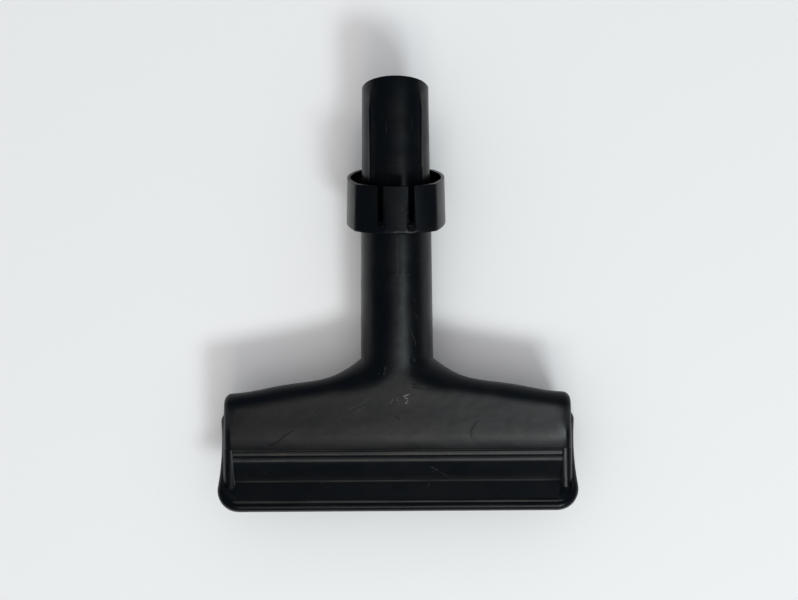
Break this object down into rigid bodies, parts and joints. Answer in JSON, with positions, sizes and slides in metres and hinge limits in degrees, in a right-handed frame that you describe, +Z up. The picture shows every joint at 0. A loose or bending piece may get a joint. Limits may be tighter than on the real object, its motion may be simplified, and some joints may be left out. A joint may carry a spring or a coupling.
{
  "type": "vacuum upholstery nozzle",
  "caption": "Black plastic upholstery nozzle for a vacuum cleaner: a wide slanted suction head on a short tube, with a collar cup and a push-in spigot.",
  "frame": {"origin": "centre of the bounding box, on the floor it lies on", "axes": "+Y along the tube from the suction head to the spigot, as seen from above; +Z up, the front of the head facing up; +X across the head"},
  "size_m": [0.1806, 0.2122, 0.0513],
  "materials": {
    "black_plastic": "satin moulded black plastic, slightly worn"
  },
  "bodies": {
    "root": {"nozzle_body": "black_plastic", "collar_cup": "black_plastic"}
  },
  "joints": []
}
